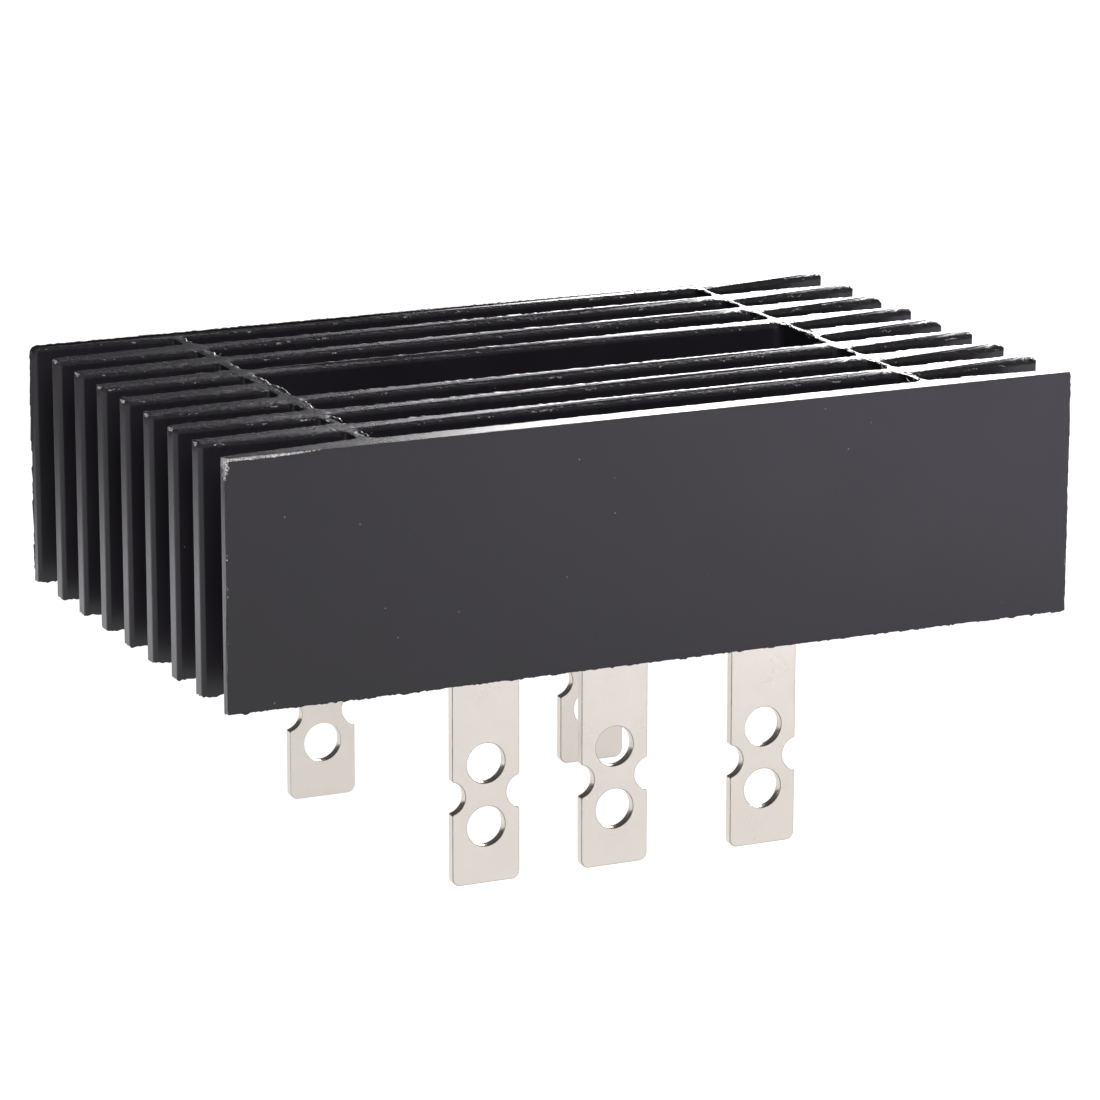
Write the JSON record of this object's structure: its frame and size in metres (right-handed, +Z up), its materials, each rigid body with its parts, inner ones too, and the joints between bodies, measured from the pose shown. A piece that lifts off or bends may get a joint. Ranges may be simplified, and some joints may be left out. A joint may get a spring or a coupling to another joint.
{
  "type": "three phase bridge rectifier module",
  "caption": "Three phase bridge rectifier in a finned black heat sink, with flat screw terminals pointing down.",
  "frame": {"origin": "under the middle of the module, on the surface that the five terminal ends stand on", "axes": "+X along the fins to the right, -Y towards the front plate and the three alternating current terminals, +Z up from the terminals to the sawn top of the fins"},
  "size_m": [0.11, 0.0662, 0.0588],
  "materials": {
    "black_paint": "semi-gloss black paint on extruded aluminium",
    "bare_aluminium": "mill finish",
    "nickel_plate": "nickel plated brass strip, satin",
    "potting_epoxy": "cast black epoxy",
    "alumina": "fired alumina, satin",
    "copper": "bare copper strip, satin",
    "silicon": "passivated silicon between tinned discs"
  },
  "bodies": {
    "root": {"ac_pad_1": "copper", "ac_pad_2": "copper", "ac_pad_3": "copper", "base_plate": "bare_aluminium", "heat_sink": "black_paint", "insulating_sheet": "alumina", "lower_clip_1": "copper", "lower_clip_2": "copper", "lower_clip_3": "copper", "lower_diode_1": "silicon", "lower_diode_2": "silicon", "lower_diode_3": "silicon", "negative_bar": "copper", "positive_bus": "copper", "potting": "potting_epoxy", "terminal_ac_1": "nickel_plate", "terminal_ac_2": "nickel_plate", "terminal_ac_3": "nickel_plate", "terminal_negative": "nickel_plate", "terminal_positive": "nickel_plate", "upper_clip_1": "copper", "upper_clip_2": "copper", "upper_clip_3": "copper", "upper_diode_1": "silicon", "upper_diode_2": "silicon", "upper_diode_3": "silicon"}
  },
  "joints": []
}
